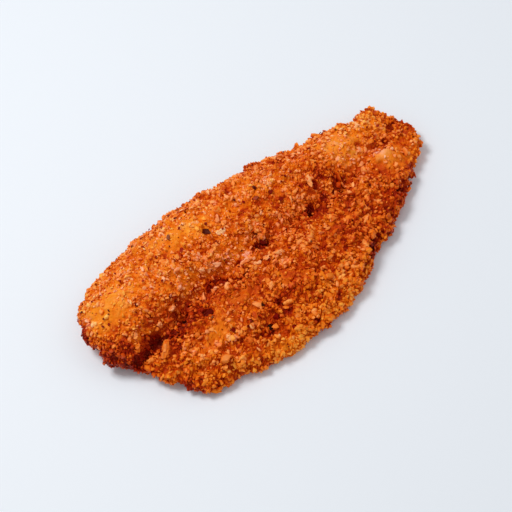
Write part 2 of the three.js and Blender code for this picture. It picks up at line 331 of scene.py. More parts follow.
def top_height(x, y, out, angle):
    """From rim to crown by the root of one minus a high power of the way out: a blunt shoulder on the
    loin, a softer one on the flap, which also has a groove and a raised lip inside its edge."""
    on_flap = np.clip(-FLAP_SIDE * np.sin(angle + FLAP_TURN), 0, 1)
    lip, groove = bell((out - LIP_OUT) / LIP_WIDTH), bell((out - GROOVE_OUT) / LIP_WIDTH)
    flap = on_flap * (LIP_RISE * lip - GROOVE_DEPTH * groove)
    lumps = LUMP_RISE * bumps(LUMP_SIZE, 7, x, y) + LUMP_RISE * bumps(SMALL_LUMP_SIZE, 3, x, y)
    power = mix(LOIN_POWER, FLAP_POWER, np.maximum(0, -np.sin(angle)))
    shoulder = np.sqrt(np.maximum(0, 1 - out**power))
    return mix(rim_height(angle), crown_at(x, y) + flap + lumps, shoulder)


def underside_height(_x, _y, out, angle):
    """Flat on the floor in the middle, rounded up to the rim by a high power of the way out. Its place
    in plan plays no part."""
    lift = 1 - np.sqrt(np.maximum(0, 1 - out**UNDERSIDE_POWER))
    return rim_height(angle) * np.clip(lift * (1 + FLAT_SHARE) - FLAT_SHARE, 0, 1)


# %% [markdown]
# ## The crust under the crumbs
# Under the loose-looking crumbs the breading is one sheet, grainy from the crumbs that sank into
# it and smooth and shiny where only batter covers the fish. It is the pillow on a fine grid. A bump
# in the finish could fake the grain, but it would leave the outline smooth, so the grain is real
# relief. The sheet is drawn in by about two millimetres, which leaves room for the crumbs inside
# the solid's box, and then pushed out again: by sunk crumbs, by clumps of them, less in the pits.

# %% Points in plan and height
CELLS_LENGTHWISE, CELLS_ACROSS = 480, 192
RINGS = [  # of the underside: way out, and how many rim points each of its points stands for
    (0.985, 2), (0.965, 2), (0.94, 2), (0.91, 4), (0.87, 4), (0.82, 4), (0.76, 4), (0.69, 8), (0.61, 8),
    (0.52, 8), (0.42, 16), (0.31, 16), (0.2, 32), (0.1, 64),
]
RAGGED_REACH, RAGGED_SIZE, RAGGED_POWER = 1.7, 6, 6  # the higher the power, the sooner it fades inwards


def pillow_points(out, angle, height):
    """Plan place with the ragged edge: the rim goes in and out by bumps, less and less inwards. Returns
    the points, and for each its plan place, way out and angle."""
    x, y = plan_at(out, angle)
    reach = RAGGED_REACH * bumps(RAGGED_SIZE, 11, x, y) * out**RAGGED_POWER
    ragged_x, ragged_y = x + reach * np.cos(angle), y + reach * np.sin(angle)
    points = np.stack([ragged_x, ragged_y, height(x, y, out, angle)], axis=-1)
    return points.reshape(-1, 3) - BOX_MIDDLE, np.stack([x, y, out, angle], axis=-1).reshape(-1, 4)


# %% Triangles between the points
def grid_faces(number):
    """Two triangles a cell, seen from above. Diagonals lean towards the square's corners, so that no
    triangle lies along the outline."""
    quad = np.stack([number[:-1, :-1], number[1:, :-1], number[1:, 1:], number[:-1, 1:]], axis=-1)
    left = np.arange(quad.shape[0])[:, None] < quad.shape[0] / 2
    near = np.arange(quad.shape[1])[None, :] < quad.shape[1] / 2
    quad = np.where((left == near)[..., None], quad, np.roll(quad, -1, axis=-1))
    return np.concatenate([quad[..., [0, 1, 2]].reshape(-1, 3), quad[..., [0, 2, 3]].reshape(-1, 3)])


def ring_faces(outer, inner):
    """Triangles between two rings of point numbers, seen from below. The inner one has as many points
    or half as many: then each of its steps meets two of the outer ring."""
    after, inner_after = np.roll(outer, -1), np.roll(inner, -1)
    if len(inner) == len(outer):
        faces = [(outer, inner, after), (after, inner, inner_after)]
    else:
        first, second, third = outer[::2], outer[1::2], after[1::2]
        faces = [(first, inner, second), (second, inner, inner_after), (second, inner_after, third)]
    return np.concatenate([np.stack(face, axis=1) for face in faces])


# %% The pillow
def pillow():
    """Points of the top grid, then of the underside's rings and its middle; triangles that share the
    rim; for each point its plan place, way out and angle; and which points are on the top."""
    rows, columns = CELLS_LENGTHWISE + 1, CELLS_ACROSS + 1
    u, v = np.meshgrid(np.linspace(-1, 1, rows), np.linspace(-1, 1, columns), indexing="ij")
    top, top_place = pillow_points(*disc_at(u, v), top_height)
    number = np.arange(rows * columns).reshape(rows, columns)
    rim = np.concatenate([number[:-1, 0], number[-1, :-1], number[:0:-1, -1], number[0, :0:-1]])
    points, places, faces, outer, count = [top], [top_place], [grid_faces(number)], rim, len(top)
    for out, step in RINGS:
        angle = top_place[rim[::step], 3]
        ring, ring_place = pillow_points(np.full(len(angle), out), angle, underside_height)
        inner = count + np.arange(len(angle))
        faces.append(ring_faces(outer, inner))
        points, places, outer, count = [*points, ring], [*places, ring_place], inner, count + len(inner)
    faces.append(np.stack([outer, np.full(len(outer), count), np.roll(outer, -1)], axis=1))
    middle = np.array([[0.0, 0.0, 0.0]]) - BOX_MIDDLE
    points, places = np.concatenate([*points, middle]), np.concatenate([*places, np.zeros((1, 4))])
    return points, np.concatenate(faces), places.T, np.arange(count + 1) < len(top)


# %% Directions
def face_normals(points, faces):
    """Cross product of two sides: twice the area long, pointing outwards."""
    a, b, c = points[faces[:, 0]], points[faces[:, 1]], points[faces[:, 2]]
    return np.cross(b - a, c - a)


def unit(vectors):
    """The same directions, one long."""
    return vectors / np.maximum(np.linalg.norm(vectors, axis=-1, keepdims=True), 1e-9)


def point_normals(points, faces):
    """Each point's direction: the sum of the normals of its faces, larger faces counting for more."""
    across = face_normals(points, faces)
    total = [np.bincount(faces.ravel(), np.repeat(across[:, k], 3), len(points)) for k in range(3)]
    return unit(np.stack(total, axis=-1))


# %% Making and measuring it
body, body_faces, (plan_x, plan_y, way_out, _), on_top = pillow()
body_normals = point_normals(body, body_faces)
plan_offset = from_seam(plan_x, plan_y)
print("pillow:", len(body), "points,", len(body_faces), "triangles")
print("from", body.min(0).round(1), "to", body.max(0).round(1))
sides = np.sort(body_faces[:, [0, 1, 1, 2, 2, 0]].reshape(-1, 2), axis=1)
shared = np.unique(sides, axis=0, return_counts=True)[1]
print("every side shared by two:", bool((shared == 2).all()))
a, b, c = (body[body_faces[:, corner]] for corner in range(3))
print("volume in cubic cm:", round(float((a * np.cross(b, c)).sum()) / 6000, 1))

# %% [markdown]
# ## Where the crust is smooth, pitted, brown, shaded and warm
# Four maps over the fillet steer all the rest. Smoothness is bare golden batter: on the crest of the
# loin, at the head and near the tail. Pits are dark holes between lumps of crust. Browning is dark
# in the seam, where oil and heat stood, and part of that dark is painted shade in its groove; the
# dark in the pits and under the edges is painted shade. It is pale on swellings, and on the blister
# and at the head's end that paleness is a painted oil sheen. Warmth says where the crust is more
# golden and where more pink; the pink of the blister and the head's end is painted sheen too. The
# maps could be painted on the mesh, but ovals and bumps in numbers can be moved one at a time.

# %% Smoothness
SMOOTH_PATCHES = np.array([  # x, y, half length, half width, turn, strength
    (-89, 16, 15, 13, 0, 0.85),  # golden head of the loin
    (-33, 26.5, 12, 4.5, 5, 0.8),  # shiny patch by the spice flakes
    (-50, 31, 18, 3, 8, 0.5),  # pale band along the crest of the loin
    (9, 35, 9, 4, 0, 0.45),
    (63, 30, 12, 8, 10, 0.85),  # far side of the tail
    (83, 7, 10, 8, 30, 0.85),  # near side of the tail
    (78, 13, 4.5, 4, 20, 0.9),  # blister
    (-27, -17, 10, 5, 10, 0.75),  # middle of the belly flap
    (-46, -24, 10, 5, 20, 0.75),
    (-5, -22, 9, 5, 10, 0.5),
    (35, -12, 12, 4, 30, 0.45),
    (-24, -48, 9, 4, 0, 0.5),
])
SMOOTH_BUMPS = ((0.25, 5, 31), (0.2, 2.4, 32))  # strength, size, pattern
SMOOTH_ENDS = (1.0, 0.94)  # way out at which none is left, and all


def mottled(values, rows):
    """The values with one pattern of bumps over the plan added for each row."""
    for strength, size, layer in rows:
        values = values + strength * bumps(size, layer, plan_x, plan_y)
    return values


smoothness = np.clip(mottled(ovals_at(SMOOTH_PATCHES, plan_x, plan_y), SMOOTH_BUMPS), 0, 1)
smoothness *= on_top * smooth_step(*SMOOTH_ENDS, way_out)
print("smooth share", smoothness.mean().round(3))

# %% Pits
PITS = np.array([  # x, y, half length, half width, turn, strength
    (-75, -8, 12, 3.8, -12, 1), (-86, -11, 6, 3, 10, 1), (-28, -37, 5, 2.2, 10, 1),
    (48, 12, 7, 3, 38, 1), (43, -28.5, 9, 1.8, 37, 1), (-3, 2.4, 7, 2.4, -10, 1),
    (-30.5, -2.2, 6, 2.8, -15, 1), (-23, -7.5, 3, 1.2, -15, 1), (27.5, 6.5, 4.5, 2.2, 26, 1),
    (-45, -13, 3.8, 2.2, -10, 1), (-12, -34.5, 3.4, 1.5, 0, 1), (-38, -1, 2, 1.5, 70, 1),
    (31, 16.5, 3, 2, -80, 1), (38, 14.5, 4, 1.6, 65, 1), (21, -17, 3.2, 2.6, 0, 1),
    (-13, -27.5, 5, 1.6, 20, 1), (13, -41, 3, 2, 50, 1), (-3, -46, 3, 1.5, 30, 1),
    (-6, 25, 3.5, 1.3, -70, 1), (53, -6.5, 3, 1.6, -80, 1), (31.5, -19, 2.3, 1.8, -30, 1),
    (73, -8.5, 2.2, 1.8, 0, 1), (37, 7.5, 2.4, 2, 15, 1), (-19.5, 0, 3, 1.6, 5, 1),
    (59, 11, 2.4, 1.5, 60, 1), (28, 40, 3.4, 2, -45, 1),
])
PIT_BUMPS, PIT_STARTS, PIT_FULL = ((0.3, 2.6, 24),), 0.35, 0.8
pit = smooth_step(PIT_STARTS, PIT_FULL, mottled(ovals_at(PITS, plan_x, plan_y) * on_top, PIT_BUMPS))
print("pitted share", pit.mean().round(3))

# %% Browning, with painted shade and painted sheen
# Added brown: real browning in places, and elsewhere painted shade or a painted oil sheen.
BROWN_AND_PAINTED_LIGHT_PATCHES = np.array([  # x, y, half length, half width, turn, added brown
    # the cleft at the head, the underside of the blunt end, some pits, and the notch in the tail: browner
    # crust in the cleft, and painted shade there, under the blunt end, in the pits and in the notch
    (-66, -13, 20, 7, 20, 0.3), (-95, -7, 9, 12, 0, 0.36), (-105, 17, 6, 12, 0, 0.5),
    (-75, -41, 9, 8, 0, 0.28), (-24, -7, 7, 3, 10, 0.2), (92, 28, 4, 3, 50, 0.2), (-1, -1, 6, 3, 0, 0.12),
    (-63, -22, 7, 6, 0, 0.08), (-90, -4.5, 4, 3, 0, -0.06),
    # the middle of the belly flap and its lower part
    (-26, -15, 30, 7, 0, 0.1), (20, -12, 45, 16, 25, 0.08), (-26, -33, 24, 7, 5, 0.16),
    (43, -16, 9, 5, 30, 0.08), (31, -12, 5, 3, 0, 0.18), (-38, -37, 4, 3, 0, 0.12),
    (-52, -37, 4, 3, 0, 0.16), (20, -38.5, 6, 2, 30, 0.14), (-70, -27, 3, 5, 0, 0.14),
    (-5, -28, 3, 2.5, 0, 0.16), (13.5, -29.5, 4, 3, 0, 0.1), (26, -21.5, 3, 2.5, 0, -0.14),
    (-25, -24, 6, 4, 0, -0.08), (9, -9, 12, 6, 0, -0.08), (-4, -36, 5, 4, 0, -0.1),
    (-27, -26, 8, 6, 0, -0.05), (28, -5, 9, 5, 0, -0.13), (21.5, -8.5, 4, 3, 0, -0.14),
    (8, -17, 3, 2.5, 0, -0.08), (-1, -32.5, 3, 2, 0, -0.1), (-42, -32, 3, 2.5, 0, -0.12),
    (31, -36, 4, 3, 0, -0.1), (-21, -32.5, 6, 2, 0, -0.14),
    # its edge, turned away from the light, darkened as painted shade, the rim that catches the light, paled
    # as painted light, and the tail as a whole
    (58, -20, 22, 8, 35, 0.24), (69, -11.5, 5, 3, 35, 0.16), (90, -6, 8, 8, 0, 0.38),
    (105, 13, 4, 8, 0, 0.24), (14, -43, 20, 4, 10, -0.08), (8, -42, 4, 2, 0, 0.1),
    (-4, -36, 48, 11, 12, 0.035), (74, 16, 14, 14, 0, 0.015),
    # the slope of the loin and its golden, pinkish head, whose end is paled by a painted oil sheen
    (-52, 9, 20, 11, 5, -0.08), (-58, 34, 18, 7, 5, -0.12), (-74, 19, 20, 11, 14, -0.1),
    (-93, 18, 9, 9, 0, -0.06), (-40, 4, 7, 4, 0, -0.06), (-43, 6.5, 4, 2.5, 0, -0.1),
    (-34, 5, 4, 2, 0, -0.12), (-87, 33, 6, 4, 0, 0.12), (5.5, 14, 5, 3, 0, -0.14), (-57, 29, 4, 3, 0, 0.08),
    (-58, 21, 5, 4, 0, -0.14), (-42, 17, 5, 4, 0, -0.06), (-97, 20, 4, 5, 0, -0.12), (-91, 6, 6, 4, 0, -0.08),
    # its crest, and the tail, where the blister is paled by a painted oil sheen
    (-18, 33, 19, 12, 0, -0.14), (29, 28, 10, 7, 0, -0.12), (11, 29, 3, 4, 0, -0.1),
    (15.5, 35, 3, 3, 0, 0.12), (63, 28, 12, 7, 10, -0.12), (80, 12, 8, 7, 30, -0.08),
    (62, 8, 8, 7, 0, -0.1), (56, 18, 6, 5, 0, -0.08), (83, 29, 4, 3, 0, 0.12), (40, 20, 9, 5, 20, 0.12),
    (77.5, 13.5, 4, 3.5, 20, -0.3), (69, 27, 4, 3, 0, 0.1), (73.5, 12, 3, 3, 0, 0.08),
    (-39, 36, 8, 3, 0, -0.14), (61, 22, 4, 3, 0, -0.12), (20, 28, 3, 3, 0, -0.1),
    (1.5, 39.5, 5, 2.5, 0, 0.16),
])
BASE_BROWN, SEAM_SHADE_AND_BROWN, LOIN_BROWN, RIM_DARKENING, PIT_SHADE = 0.385, 0.06, 0.13, 0.05, 0.26
BROWN_BUMPS = ((0.09, 17, 21), (0.07, 6, 22))
LOIN_BUMPS = ((LOIN_BROWN, 3.4, 23),)  # clumps on the rough crust of the loin
LOIN_BROWN_FADE = (2, 12)  # how far from the seam they begin, and are full
# Browning, with the painted shade and painted sheen of the patches above in it.
browning_and_painted_light = mottled(BASE_BROWN + ovals_at(BROWN_AND_PAINTED_LIGHT_PATCHES, plan_x, plan_y), BROWN_BUMPS)
# The seam is browner crust, and darker still in its groove as painted shade.
browning_and_painted_light += SEAM_SHADE_AND_BROWN * bell(plan_offset / SEAM_WIDTH)
browning_and_painted_light += smooth_step(*LOIN_BROWN_FADE, plan_offset) * (1 - smoothness) * mottled(0.0, LOIN_BUMPS)
# Darker towards the rim.
browning_and_painted_light += RIM_DARKENING * smooth_step(0.93, 1.0, way_out)
# Painted shade in the pits.
browning_and_painted_light += PIT_SHADE * pit
print("browning from", browning_and_painted_light.min().round(2), "to", browning_and_painted_light.max().round(2))

# %% Warmth, with painted sheen
WARM_AND_SHEEN_PATCHES = np.array([  # x, y, half length, half width, turn, added warmth
    # The pink at the blister and at the head's end is a painted oil sheen; the rest is the crust's own tint.
    (-15, 2, 55, 6, 5, -0.4), (77, 14, 5, 4.5, 0, -1), (-98, 20, 4, 6, 0, -0.9),  # seam, blister, head's end
    (-33, 27, 16, 7, 5, 0.4), (-86, 13, 12, 11, 0, 0.4), (80, 36, 12, 8, 0, 0.3),  # smooth batter, far corner
    (-4, -38, 48, 11, 12, 0.4),  # lower part of the flap
])
BASE_WARMTH, RIM_WARMTH = 0.5, 0.5
warmth_and_sheen = BASE_WARMTH + ovals_at(WARM_AND_SHEEN_PATCHES, plan_x, plan_y) + RIM_WARMTH * smooth_step(0.85, 1.0, way_out)
print("warmth from", warmth_and_sheen.min().round(2), "to", warmth_and_sheen.max().round(2))


# %% Crumbs sunk in the sheet
LATTICE_SHIFT = 100  # cells; any number that differs from the bumps' lattice would do
SLANT = 1.6


def sunk_crumbs(points, size, layer):
    """Space is cut into cells round one random point for each corner of a lattice, so that each place
    belongs to its nearest point. A cell is one crumb pressed into the batter: it has its own height
    and its own slant, and a crease where the next cell begins. Returns the height, from about 0 to 1,
    how far it is to the crease, and the crumb's own random number."""
    spots = points / size + LATTICE_SHIFT
    corner = np.floor(spots)
    nearest = np.full(len(points), 9.0)
    second, height, number = nearest.copy(), np.zeros(len(points)), np.zeros(len(points))
    for step in np.ndindex(3, 3, 3):
        i, j, k = (corner + np.array(step) - 1).T
        draws = [corner_value(i + 31 * layer, j + 7 * n, k + 13 * n) for n in range(7)]
        towards = spots - np.stack([i + draws[0], j + draws[1], k + draws[2]], axis=-1)
        distance = np.linalg.norm(towards, axis=-1)
        slant = (towards * (np.stack(draws[3:6], axis=-1) - 0.5)).sum(-1)
        closer = distance < nearest
        second = np.where(closer, nearest, np.minimum(second, distance))
        height = np.where(closer, draws[6] + SLANT * slant, height)
        number = np.where(closer, draws[5], number)
        nearest = np.where(closer, distance, nearest)
    return height, second - nearest, number


CLUMP_BUMPS, CLUMP_EDGE = ((0.6, 7, 51), (0.6, 3.4, 52)), 0.3  # strength, size, pattern


def clumps_at(points):
    """Crumbs gather in clumps a few millimetres across: 1 inside a clump, 0 between clumps."""
    total = sum(strength * bumps(size, layer, *points.T) for strength, size, layer in CLUMP_BUMPS)
    return smooth_step(-CLUMP_EDGE, CLUMP_EDGE, total)


# %% Grain of the sheet
COARSE_SIZE, FINE_SIZE, CREASE_WIDTH = 2.5, 1.25, 0.22  # mm, mm, and cells
COARSE_SHARE, FINE_SHARE = 0.62, 0.38
CREASE_FLOOR, FINE_CREASE_FLOOR = 0.45, 0.5  # what a crease leaves of the height beside it
LOIN_CLUMPS = 0.6  # strength of the clumps on the loin, against the flap's
coarseness = smooth_step(24, -20, plan_offset)  # 0 on the loin, 1 on the flap
clump = mix(0.5, clumps_at(body), mix(LOIN_CLUMPS, 1, coarseness))
coarse, coarse_gap, coarse_number = sunk_crumbs(body, COARSE_SIZE, 1)
fine, fine_gap, fine_number = sunk_crumbs(body, FINE_SIZE, 2)
fine_crease = mix(FINE_CREASE_FLOOR, 1, smooth_step(0, CREASE_WIDTH, fine_gap))
crease = np.minimum(smooth_step(0, CREASE_WIDTH, coarse_gap), fine_crease)
grain = np.clip((COARSE_SHARE * coarse + FINE_SHARE * fine) * mix(CREASE_FLOOR, 1, crease), 0, 1.2)
print("grain", grain.mean().round(2), "clumps", clump.mean().round(2))

# %% The sheet
GRAIN_RISE, CLUMP_RISE, PIT_DEPTH, SHEET_INSET = 2.1, 1.3, 0.8, 1.95
UNDERSIDE_RISE, UNDERSIDE_INSET, LEAST_HEIGHT = 0.4, 0.3, 0.2  # flatter below, and just off the floor
SMOOTH_ABOVE = 0.3  # smoother crust than this is shaded round, the rest in flat faces
BATTER_FILLS = 0.8  # how much of the grain smooth batter evens out
BATTER_GRAIN, BATTER_CLUMP = 0.5, 0.6  # and the heights that it settles at
grain_rise = GRAIN_RISE * mix(grain, BATTER_GRAIN, BATTER_FILLS * smoothness)
rise = grain_rise + CLUMP_RISE * mix(clump, BATTER_CLUMP, smoothness) - SHEET_INSET
rise = np.where(on_top, rise - PIT_DEPTH * pit, UNDERSIDE_RISE * rise - UNDERSIDE_INSET)
sheet = body + body_normals * rise[:, None]
sheet[:, 2] = np.maximum(sheet[:, 2], LEAST_HEIGHT)
sheet = np.clip(sheet, BOX_LOW, BOX_HIGH)
sheet_normals = point_normals(sheet, body_faces)
crust = triangle_mesh("crust", sheet, body_faces, smooth=True)
crust.data.polygons.foreach_set("use_smooth", smoothness[body_faces].mean(1) > SMOOTH_ABOVE)
print("crust from", sheet.min(0).round(1), "to", sheet.max(0).round(1))
print("middle rise of the top", rise[on_top].mean().round(2), "mm")

# %% [markdown]
# ## What each point tells the finish
# The finish needs to know how brown, how warm and how high each bit of crust is. It could read a
# painted picture, but numbers stored on the points follow the mesh and never blur. When the finish
# is later baked into a picture for other programs, every triangle also needs a place in that
# picture. Blender can unfold a mesh by itself, but thousands of crumbs come out too small to hold
# their colours, so each piece lays itself flat: the sheet as its own grid, each crumb as a square.


# %% Values that a piece's material reads
def give(piece, name, values):
    """Stores one number for each point of a piece, for its material."""
    piece.data.attributes.new(name, "FLOAT", "POINT").data.foreach_set("value", values.astype(np.float32))


# %% A flat place for every face, for when the finish is baked into a picture
def lay_flat(piece, places):
    """Stores where each corner of each triangle lies in a square picture from 0 to 1."""
    piece.data.uv_layers.new(name="OFBake").uv.foreach_set("vector", places.astype(np.float32).ravel())


def patches(count, faces_each):
    """Corner places for that many small solids: each has a square of its own, and in it every two
    triangles share a smaller square, one below its diagonal and one above."""
    solid, face = np.divmod(np.arange(count * faces_each), faces_each)
    pair, upper = face // 2, face[:, None, None] % 2
    corner = np.where(upper, ((1, 1), (0, 1), (1, 0)), ((0, 0), (1, 0), (0, 1)))
    inner, outer = int(np.ceil(np.sqrt(faces_each / 2))), int(np.ceil(np.sqrt(count)))
    in_solid = (np.stack([pair % inner, pair // inner], axis=1)[:, None, :] + corner) / inner
    return (np.stack([solid % outer, solid // outer], axis=1)[:, None, :] + in_solid) / outer


# %% The sheet laid flat
TOP_SHARE, GAP_SHARE = 0.8, 0.02  # of the picture's height; the underside is squeezed into the rest
steps_u, steps_v = np.linspace(0, 1, CELLS_LENGTHWISE + 1), np.linspace(0, 1, CELLS_ACROSS + 1)
grid_u, grid_v = np.meshgrid(steps_u, steps_v, indexing="ij")
top_places = np.stack([grid_u.ravel(), 1 - TOP_SHARE * grid_v.ravel()], axis=1)
under_size = (1, 1 - GAP_SHARE - TOP_SHARE)
under_places = (body[:, :2] - body[:, :2].min(0)) / np.ptp(body[:, :2], axis=0) * under_size
top_faces = 2 * CELLS_LENGTHWISE * CELLS_ACROSS
lay_flat(crust, np.concatenate([top_places[body_faces[:top_faces]], under_places[body_faces[top_faces:]]]))
print("crust laid flat:", top_faces, "triangles of the top,", len(body_faces) - top_faces, "of the underside")

# %% The sheet's brown, tint and height
SMOOTH_BROWN, COARSE_BROWN, FINE_BROWN, TINT_SPREAD = 0.06, 0.16, 0.12, 0.8
GRAIN_SHARE, CLUMP_SHARE, CREASE_LEFT, SMOOTH_HEIGHT = 0.6, 0.4, 0.3, 0.65
SMOOTH_EVENS = 0.6  # how much of the crumbs' own brown smooth batter hides
rough_share = 1 - SMOOTH_EVENS * smoothness
own_brown = COARSE_BROWN * (coarse_number - 0.5) + FINE_BROWN * (fine_number - 0.5)
# The crust's tone: browning with painted shade and painted sheen in it.
give(crust, "tone", browning_and_painted_light + SMOOTH_BROWN * smoothness + rough_share * own_brown)
give(crust, "tint", np.clip(warmth_and_sheen + TINT_SPREAD * (coarse_number - 0.5), 0, 1))
# This height becomes painted shade in the finish, darker in creases, low grain and between clumps, and
# painted light, paler on high grain.
height = (GRAIN_SHARE * grain + CLUMP_SHARE * clump) * mix(CREASE_LEFT, 1, crease)
give(crust, "height", mix(height, SMOOTH_HEIGHT, smoothness))
print("own brown spread", own_brown.std().round(3), "height", height.mean().round(2))

# %% [markdown]
# ## Crumbs
# The breading is dry bread broken into crumbs of all sizes, so each crumb is its own little
# broken solid. An icosahedron with its corners pulled in and out is enough at this size: twenty
# flat faces look like a broken crumb, and a round ball would look like a bead. A particle system
# could scatter them; arrays give the same crumbs on every run and one plain mesh for each kind.
# They are spread evenly by area, and fewer stick where the crust is smooth, between the clumps,
# in the pits and on the underside.

# %% One broken crumb
GOLDEN = (1 + 5**0.5) / 2
CORNERS = unit(np.array([
    (-1, GOLDEN, 0), (1, GOLDEN, 0), (-1, -GOLDEN, 0), (1, -GOLDEN, 0),
    (0, -1, GOLDEN), (0, 1, GOLDEN), (0, -1, -GOLDEN), (0, 1, -GOLDEN),
    (GOLDEN, 0, -1), (GOLDEN, 0, 1), (-GOLDEN, 0, -1), (-GOLDEN, 0, 1),
]))
SIDES = np.array([
    (0, 11, 5), (0, 5, 1), (0, 1, 7), (0, 7, 10), (0, 10, 11), (1, 5, 9), (5, 11, 4), (11, 10, 2),
    (10, 7, 6), (7, 1, 8), (3, 9, 4), (3, 4, 2), (3, 2, 6), (3, 6, 8), (3, 8, 9), (4, 9, 5),
    (2, 4, 11), (6, 2, 10), (8, 6, 7), (9, 8, 1),
])


# %% Where the larger chilli flakes lie, so that no crumb covers them
FLAKES = np.array([  # x, y, half length, half width, turn, redness
    (-23.6, 21.5, 3.4, 1.7, 120, 0.15), (15.7, 22.3, 2.3, 1.8, 60, 0.45), (-24.7, -35.9, 2.1, 1.8, 0, 0),
    (-45.4, -13.5, 3.2, 1.7, -10, 0.35), (-40, 30.6, 2.2, 1.1, 60, 0.95), (-40.9, -28.5, 1.7, 1.3, 0, 0.5),
    (-38.6, 19.6, 1.8, 1.3, 40, 0.7), (9.9, 28.1, 1.5, 1, 100, 0.25), (7.8, 22.9, 2, 1.4, 30, 0.9),
    (17.9, 14.8, 1.8, 1.3, 0, 0.5), (-19.5, -34.5, 2.4, 1.7, 50, 0.55), (-21.2, -25.9, 1.5, 1.2, 40, 0.1),
    (-14.9, -42.5, 1.6, 1.2, 0, 0.6), (-57, -8, 2, 1.3, 80, 0.05), (-2, 4.5, 2, 1.5, 0, 0.4),
])
FLAKE_MARGIN = (1, 1, 1.2, 1.4, 1, 0)  # kept clear a little longer and wider than the flake itself
PIT_CLEARED = 0.7  # share of the crumbs that a pit lacks
clear_ovals = FLAKES * FLAKE_MARGIN + (0, 0, 0, 0, 0, 1)
covered = np.minimum(ovals_at(clear_ovals, plan_x, plan_y), 1)
covered = np.maximum(covered, PIT_CLEARED * pit)
print("share kept clear of crumbs:", covered.mean().round(3))


# %% Spreading crumbs over the sheet
UNDERSIDE_SHARE = 0.35  # share of the crumbs that stay on the underside
FACES_DOWN, FACES_OUT = -0.9, -0.4  # how far up the crust faces where that begins to count, and ends
GRAIN_TURN = 0.5  # how much the grain turns a crumb, against the fillet's own form


def spread(random, count, on_smooth, clumping):
    """Places on the sheet: count equal steps through the summed area of its triangles, each moved at
    random within its step, and a random spot in the triangle. On smooth crust the share that is kept
    falls to on_smooth, and between the clumps it is smaller by clumping. Returns for each kept one its
    place, the direction outwards there and the number of a point beside it."""
    across = face_normals(sheet, body_faces)
    area = np.linalg.norm(across, axis=1) / 2
    steps = (np.arange(count) + random.random(count)) / count * area.sum()
    face = np.minimum(np.searchsorted(np.cumsum(area), steps), len(area) - 1)
    a, b = random.random((2, count))
    a, b = np.where(a + b > 1, 1 - a, a), np.where(a + b > 1, 1 - b, b)
    weights = np.stack([1 - a - b, a, b], axis=1)[..., None]
    numbers = body_faces[face]
    place = (sheet[numbers] * weights).sum(1)
    of_body, of_sheet = ((normals[numbers] * weights).sum(1) for normals in (body_normals, sheet_normals))
    outwards = unit(of_body + GRAIN_TURN * of_sheet)
    here = numbers[:, 0]
    share = mix(1, on_smooth, smoothness[here]) * mix(1 - clumping, 1, clump[here]) * (1 - covered[here])
    share *= mix(UNDERSIDE_SHARE, 1, smooth_step(FACES_DOWN, FACES_OUT, body_normals[here, 2]))
    keep = random.random(count) < share
    return place[keep], outwards[keep], here[keep]


CORNER_PULL, SHAPE_SPREAD = (0.5, 1.5), (0.7, 1.3)


def broken_solids(random, place, outwards, radius, shape, sink, tilt):
    """Corners of one broken solid at each place. A frame stands on the surface, turned at random and
    leaning by a random share of tilt; corners are pulled in and out by CORNER_PULL, scaled by radius and
    shape, and the middle lies above the surface by radius times thickness times one minus sink."""
    count = len(place)
    up = unit(outwards + tilt * random.normal(size=(count, 3)))
    side = unit(np.cross(up, random.normal(size=(count, 3))))
    axes = np.stack([side, np.cross(up, side), up], axis=1)
    pull = random.uniform(*CORNER_PULL, (count, len(CORNERS), 1))
    local = CORNERS * pull * (radius[:, None] * shape)[:, None, :]
    middle = place + outwards * (radius * shape[:, 2] * (1 - sink))[:, None]
    return middle[:, None, :] + local @ axes


# %% Joining many small solids into one piece
def joined(name, solids, faces):
    """One flat-faced mesh of many small solids that share a list of faces: each is moved into the
    fillet's box as a whole, and gets its own run of point numbers and its own place when laid flat."""
    inwards = np.maximum(BOX_LOW - solids.min(1), 0) + np.minimum(BOX_HIGH - solids.max(1), 0)
    count, points_each = solids.shape[:2]
    all_faces = (faces + points_each * np.arange(count)[:, None, None]).reshape(-1, 3)
    piece = triangle_mesh(name, (solids + inwards[:, None]).reshape(-1, 3), all_faces, smooth=False)
    lay_flat(piece, patches(count, len(faces)))
    print(name, count, "solids,", len(all_faces), "triangles")
    return piece


# %% One kind of crumb
LOIN_CRUMBS, FLAP_CRUMBS = 0.84, 1.04  # the crumbs of the flap are coarser


def crumb_piece(name, kind):
    """One kind of crumb as one joined mesh. Radii are a middle one times e to the power of a bell-curved
    number, smaller on the loin than on the flap. Brown follows the crust below, its painted shade and
    sheen included, with a shift and a spread of its own, and so does the tint, with its painted sheen."""
    random = np.random.default_rng(kind["seed"])
    place, outwards, here = spread(random, kind["tried"], kind["on_smooth"], kind["clumping"])
    count = len(place)
    radii = kind["radius"] * mix(LOIN_CRUMBS, FLAP_CRUMBS, coarseness[here])
    radii = radii * np.exp(kind["radius_spread"] * random.normal(size=count))
    shapes = np.array(kind["shape"]) * random.uniform(*SHAPE_SPREAD, (count, 3))
    solids = broken_solids(random, place, outwards, radii, shapes, kind["sink"], kind["tilt"])
    piece = joined(name, solids, SIDES)
    own = browning_and_painted_light[here] + kind["tone"] + kind["brown_spread"] * random.normal(size=count)
    tint = np.clip(warmth_and_sheen[here] + TINT_SPREAD * (random.random(count) - 0.5), 0, 1)
    give(piece, "tone", np.repeat(own, len(CORNERS)))
    # Each corner's height in the crumb, which the finish turns into painted shade at the foot and painted
    # light at the tip.
    give(piece, "height", np.tile((CORNERS[:, 2] + 1) / 2, count))
    give(piece, "tint", np.repeat(tint, len(CORNERS)))
    return piece


